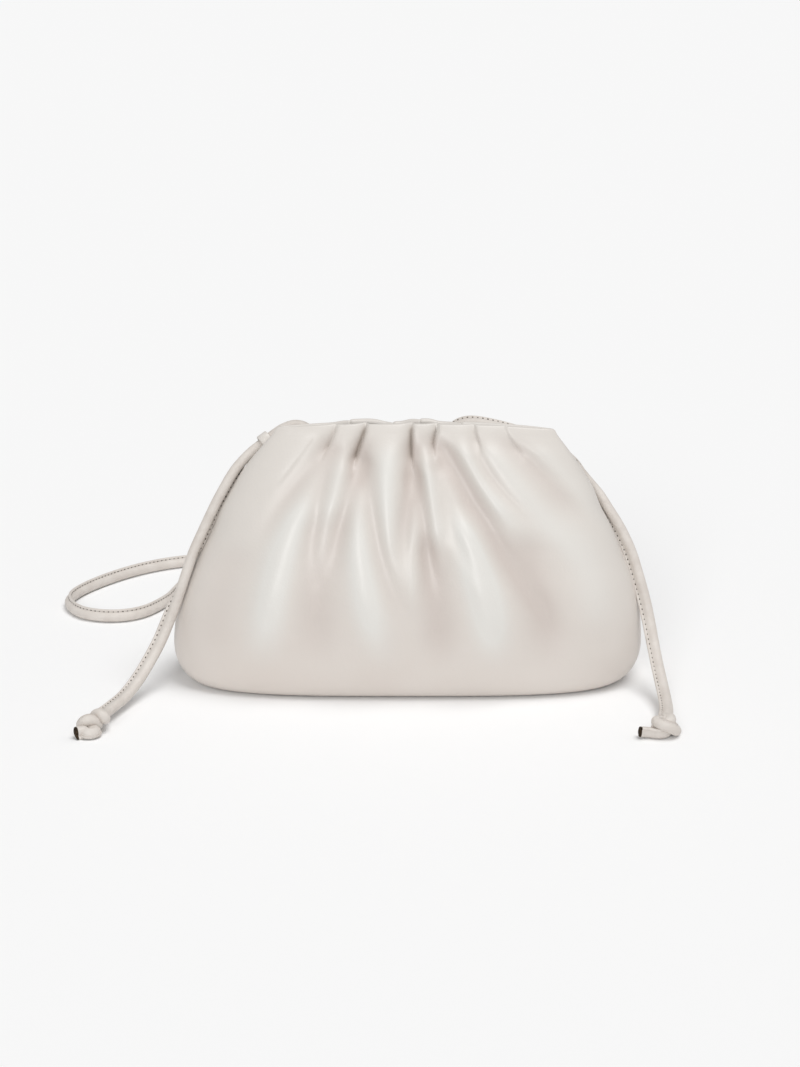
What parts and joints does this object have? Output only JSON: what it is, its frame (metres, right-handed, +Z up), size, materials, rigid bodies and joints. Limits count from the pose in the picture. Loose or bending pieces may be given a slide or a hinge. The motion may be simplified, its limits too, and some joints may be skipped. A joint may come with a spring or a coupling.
{
  "type": "crossbody pouch",
  "caption": "Small gathered leather crossbody pouch with a long round cord strap through a keeper at each end of its mouth, its ends knotted.",
  "frame": {"origin": "middle of the pouch's outline from above, on the ground it stands on", "axes": "+X along the mouth to the right as seen from the front, +Y to the back, +Z up"},
  "size_m": [0.2977, 0.2539, 0.1225],
  "materials": {
    "pouch_leather": "soft off-white nappa leather, satin, very fine grain",
    "cord_leather": "the same leather, sewn round a core with a stitched seam",
    "cut_end": "raw dark brown cut end of the cord"
  },
  "bodies": {
    "root": {"pouch_body": "pouch_leather", "keeper_left": "pouch_leather", "keeper_right": "pouch_leather", "strap_cord": "cord_leather", "end_cord_left": "cord_leather", "end_cord_right": "cord_leather", "knot_left": "cord_leather", "knot_right": "cord_leather", "end_cap_left": "cut_end", "end_cap_right": "cut_end"}
  },
  "joints": []
}
